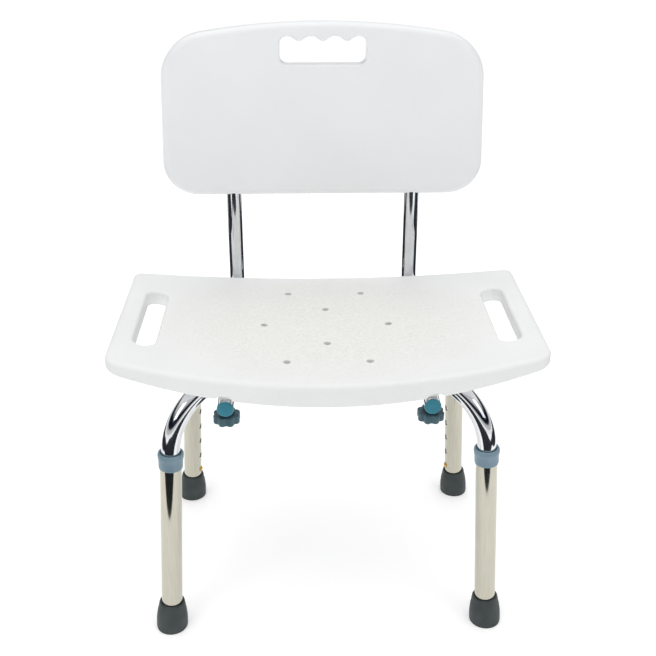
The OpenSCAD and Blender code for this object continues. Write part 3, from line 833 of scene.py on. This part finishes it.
def leg_place(azimuth, side=0):
    """A leg's own frame on the floor, turned to the side that its holes face."""
    place = Matrix.Translation((0, seat_middle, 0)) @ Matrix.Rotation(math.radians(azimuth), 4, "Z")
    place = place @ Matrix.Translation((foot_reach, 0, 0)) @ Matrix.Rotation(-splay, 4, "Y")
    return place @ Matrix.Rotation(math.radians(side), 4, "Z")


# Polished aluminium: a warm pale metal, with soft streaks drawn down the tube.
leg_metal = metal("polished_aluminium_tube", "#b9b6a8", "#c4c1b3", 0.0040, (3, 3, 0.10), (0.06, 0.11), 0.015)
first = open_ring("leg_tube", leg_radius, (0, 0, leg_low), (0, 0, 0), 72)
level = leg_low
for i in range(hole_count):
    hole = button_height + i * hole_pitch
    for stop in (hole - hole_margin, hole + hole_margin):
        draw_out((0, 0, stop - level))
        level = stop
draw_out((0, 0, leg_top - level))
give_wall(first, leg_radius - leg_bore)
for i in range(hole_count):
    place = (leg_radius, 0, button_height + i * hole_pitch)
    join_shape(first, rod(hole_radius, hole_cut, place, (0, math.radians(90), 0), 32))
shade(first, 40)
for name, azimuth, side in corners_of_chair:
    leg = again(first, "sliding_leg_" + name)
    settle(leg, leg_place(azimuth, side))
    dress(leg, leg_metal, "leg_" + name, "leg_tube", "leg_tube_" + name)
bpy.data.objects.remove(first)

# ---- Collars ----
# Blue-grey polypropylene collars grip the top of each leg tube and guide the bent tube
# through a rounded lip.

low, top = 0.231, 0.2515
first = turned("collar", [
    (leg_radius, low), (0.0134, low), (0.0138, low + 0.0004), (0.0141, low + 0.0015), (0.0142, low + 0.0060),
    (0.0143, top - 0.0090), (0.0147, top - 0.0078), (0.0150, top - 0.0065), (0.0151, top - 0.0046),
    (0.0151, top - 0.0028), (0.0149, top - 0.0014), (0.0143, top - 0.0005), (0.0137, top - 0.0001),
    (0.0131, top), (0.0125, top - 0.0001), (0.0120, top - 0.0004), (leg_bore + 0.0001, top - 0.0012),
    (leg_bore, leg_top + 0.0001), (leg_radius, leg_top + 0.0001),
], 72)
shade(first, 50)
for name, azimuth, side in corners_of_chair:
    collar = again(first, "guide_collar_" + name)
    settle(collar, leg_place(azimuth))
    dress(collar, grey_plastic, "leg_" + name, "collar_plastic", "collar_" + name)
bpy.data.objects.remove(first)

# ---- Feet ----
# Soft rubber boots, tapered to a broad sole that is flat on the floor. A steel washer in
# each one, a kept CAD solid, stops the tube from cutting through.

# Moulded rubber: charcoal with a green cast, dry, with a dusty bloom and a fine pimpled skin.
foot_rubber = moulded("charcoal_rubber", "#2c3434", "#3b4444", 0.018, (0.48, 0.66), 0.0018, 0.20)
first = turned("foot", [
    (0, -0.004), (0.01825, -0.004), (0.01895, 0.0004), (0.0192, 0.0020), (0.0192, 0.0100), (0.0190, 0.0150),
    (0.01855, 0.0190), (0.0179, 0.0240), (0.0171, 0.0280), (0.0165, 0.0310), (0.0160, 0.0340),
    (0.0155, 0.0364), (0.0151, 0.0374), (0.0147, 0.0379), (0.0141, 0.0380), (0.0133, 0.0378),
    (leg_radius, 0.0374), (leg_radius, 0.006), (0, 0.006),
], 72)
for name, azimuth, side in corners_of_chair:
    foot = again(first, "rubber_foot_" + name)
    settle(foot, leg_place(azimuth))
    choose(foot, lambda face: True)
    # The leg leans, so the sole is cut level with the floor.
    bpy.ops.mesh.bisect(
        plane_co=(0, 0, 0), plane_no=(0, 0, 1), clear_inner=True, use_fill=True, threshold=0.000001,
    )
    rest()
    shade(foot, 50)
    dress(foot, foot_rubber, "leg_" + name, "rubber", "foot_" + name)
    carry("foot_washer_" + name, zinc_plate)
bpy.data.objects.remove(first)

# ---- Snap buttons ----
# Brass buttons with domed heads, pushed out through the leg's hole by a strip of
# spring steel bent double inside the tube. The strip is hidden, so its CAD solid stays.

# Pressed brass: gold, worn brighter and smoother where it rubs.
button_brass = metal("pressed_brass_button", "#b98f3f", "#e2bd6c", 0.0018, (1, 1, 1), (0.18, 0.32), 0.10)
# Spring steel: blue-grey, rolled, with marks along the strip.
spring_steel = metal("rolled_spring_steel", "#7f868d", "#a3a9af", 0.0020, (3, 3, 0.3), (0.20, 0.34), 0.10)
half, flange = 0.0039, 0.0047
flange_in, flange_out, dome_start, dome_rise = 0.0076, 0.0084, 0.0126, 0.0024
angles = [math.radians(a) for a in range(0, 90, 10)]
dome = [(half * math.cos(a), dome_start + dome_rise * math.sin(a)) for a in angles]
first = turned("snap_button", [
    (0, flange_in), (flange, flange_in), (flange, flange_out), (half, flange_out),
    *dome, (0, dome_start + dome_rise),
], 40)
shade(first, 40)
for name, azimuth, side in corners_of_chair:
    button = again(first, "brass_button_" + name)
    seated = Matrix.Translation((0, 0, button_height)) @ Matrix.Rotation(math.radians(90), 4, "Y")
    settle(button, leg_place(azimuth, side) @ seated)
    dress(button, button_brass, "button_" + name, "brass", "snap_button_" + name)
    carry("button_spring_" + name, spring_steel)
bpy.data.objects.remove(first)

# ---- Floor and light ----
# A plain white studio floor, softly lit from above and from the front. Dark felt flags lie
# around the chair, out of every camera's sight, and show only as dark streaks in the metal.

rest()
bpy.ops.mesh.primitive_plane_add(size=30, location=(0, 0, 0))
floor = bpy.context.object
floor.name = "studio_floor"
# Painted board lit from below: an even, glowing matt white.
board, shader, spot = start_material("white_painted_board")
tone = add(board, "ShaderNodeTexNoise", {"Scale": 1 / 0.8, "Detail": 2.0}, {"Vector": spot})
tint = ramp(board, tone.outputs["Fac"], [(0.3, "#f7f7f7"), (0.7, "#f9f9f9")])
feed(board, tint, shader.inputs["Base Color"])
shader.inputs["Roughness"].default_value = 0.9
shader.inputs["Emission Color"].default_value = (1.0, 1.0, 1.0, 1.0)
shader.inputs["Emission Strength"].default_value = 0.27
floor.data.materials.append(board)
floor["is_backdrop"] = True

# Felt: a blue-black that gives nothing back.
felt, shader, spot = start_material("blue_black_felt")
nap = add(felt, "ShaderNodeTexNoise", {"Scale": 1 / 0.004, "Detail": 2.0}, {"Vector": spot})
feed(felt, ramp(felt, nap.outputs["Fac"], [(0.3, "#0a0f18"), (0.7, "#121a26")]), shader.inputs["Base Color"])
shader.inputs["Roughness"].default_value = 1.0
flag_size, flag_height = 1.8, 0.004
for name, turn, away in (("front", -8, 0.44), ("rear", 180, 0.55), ("left", -90, 0.75), ("right", 90, 0.75)):
    rest()
    bpy.ops.mesh.primitive_plane_add(size=flag_size)
    flag = bpy.context.object
    middle = Matrix.Translation((0, -flag_size / 2 - away, flag_height))
    flag.matrix_world = Matrix.Rotation(math.radians(turn), 4, "Z") @ middle
    flag.name = "flag_" + name
    flag.data.materials.append(felt)
    flag.visible_camera = flag.visible_diffuse = flag.visible_shadow = flag.visible_transmission = False
    flag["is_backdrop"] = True

for name, place, aim, size, power in (
    ("overhead", (0.0, 0.0, 2.4), (0, 0, 0.2), 2.2, 6),
    ("key", (-1.5, -1.9, 1.7), (0, 0, 0.3), 1.2, 8.5),
    ("fill", (1.7, -1.6, 1.5), (0, 0, 0.3), 1.2, 5),
    ("rear", (0.3, 2.2, 1.6), (0, 0, 0.4), 1.4, 4),
):
    rest()
    bpy.ops.object.light_add(type="AREA", location=place)
    lamp = bpy.context.object
    lamp.name = name
    lamp.data.shape, lamp.data.size, lamp.data.energy = "SQUARE", size, power
    lamp.rotation_euler = (Vector(aim) - Vector(place)).to_track_quat("-Z", "Y").to_euler()

# The lit ceiling: it reaches the far floor as strongly as the near.
rest()
bpy.ops.object.light_add(type="SUN", location=(0, 0, 3))
ceiling = bpy.context.object
ceiling.name = "ceiling"
ceiling.data.angle, ceiling.data.energy = math.radians(80), 0.95

world = bpy.data.worlds.new("studio")
bpy.context.scene.world = world
world.use_nodes = True
world.node_tree.nodes.clear()
# The studio's walls: white low down, a dark band above, and a white ceiling.
direction = add(world, "ShaderNodeTexCoord", {}, {})
split = add(world, "ShaderNodeSeparateXYZ", {}, {"Vector": direction.outputs["Generated"]})
walls = ramp(world, split.outputs["Z"], [
    (0.0, "#ffffff"), (0.07, "#ffffff"), (0.13, "#131c2b"),
    (0.34, "#17243a"), (0.50, "#ffffff"), (1.0, "#ffffff"),
])
sky = add(world, "ShaderNodeBackground", {"Strength": 0.62}, {"Color": walls})
add(world, "ShaderNodeOutputWorld", {}, {"Surface": sky.outputs["Background"]})

bpy.context.view_layer.update()
low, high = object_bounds()
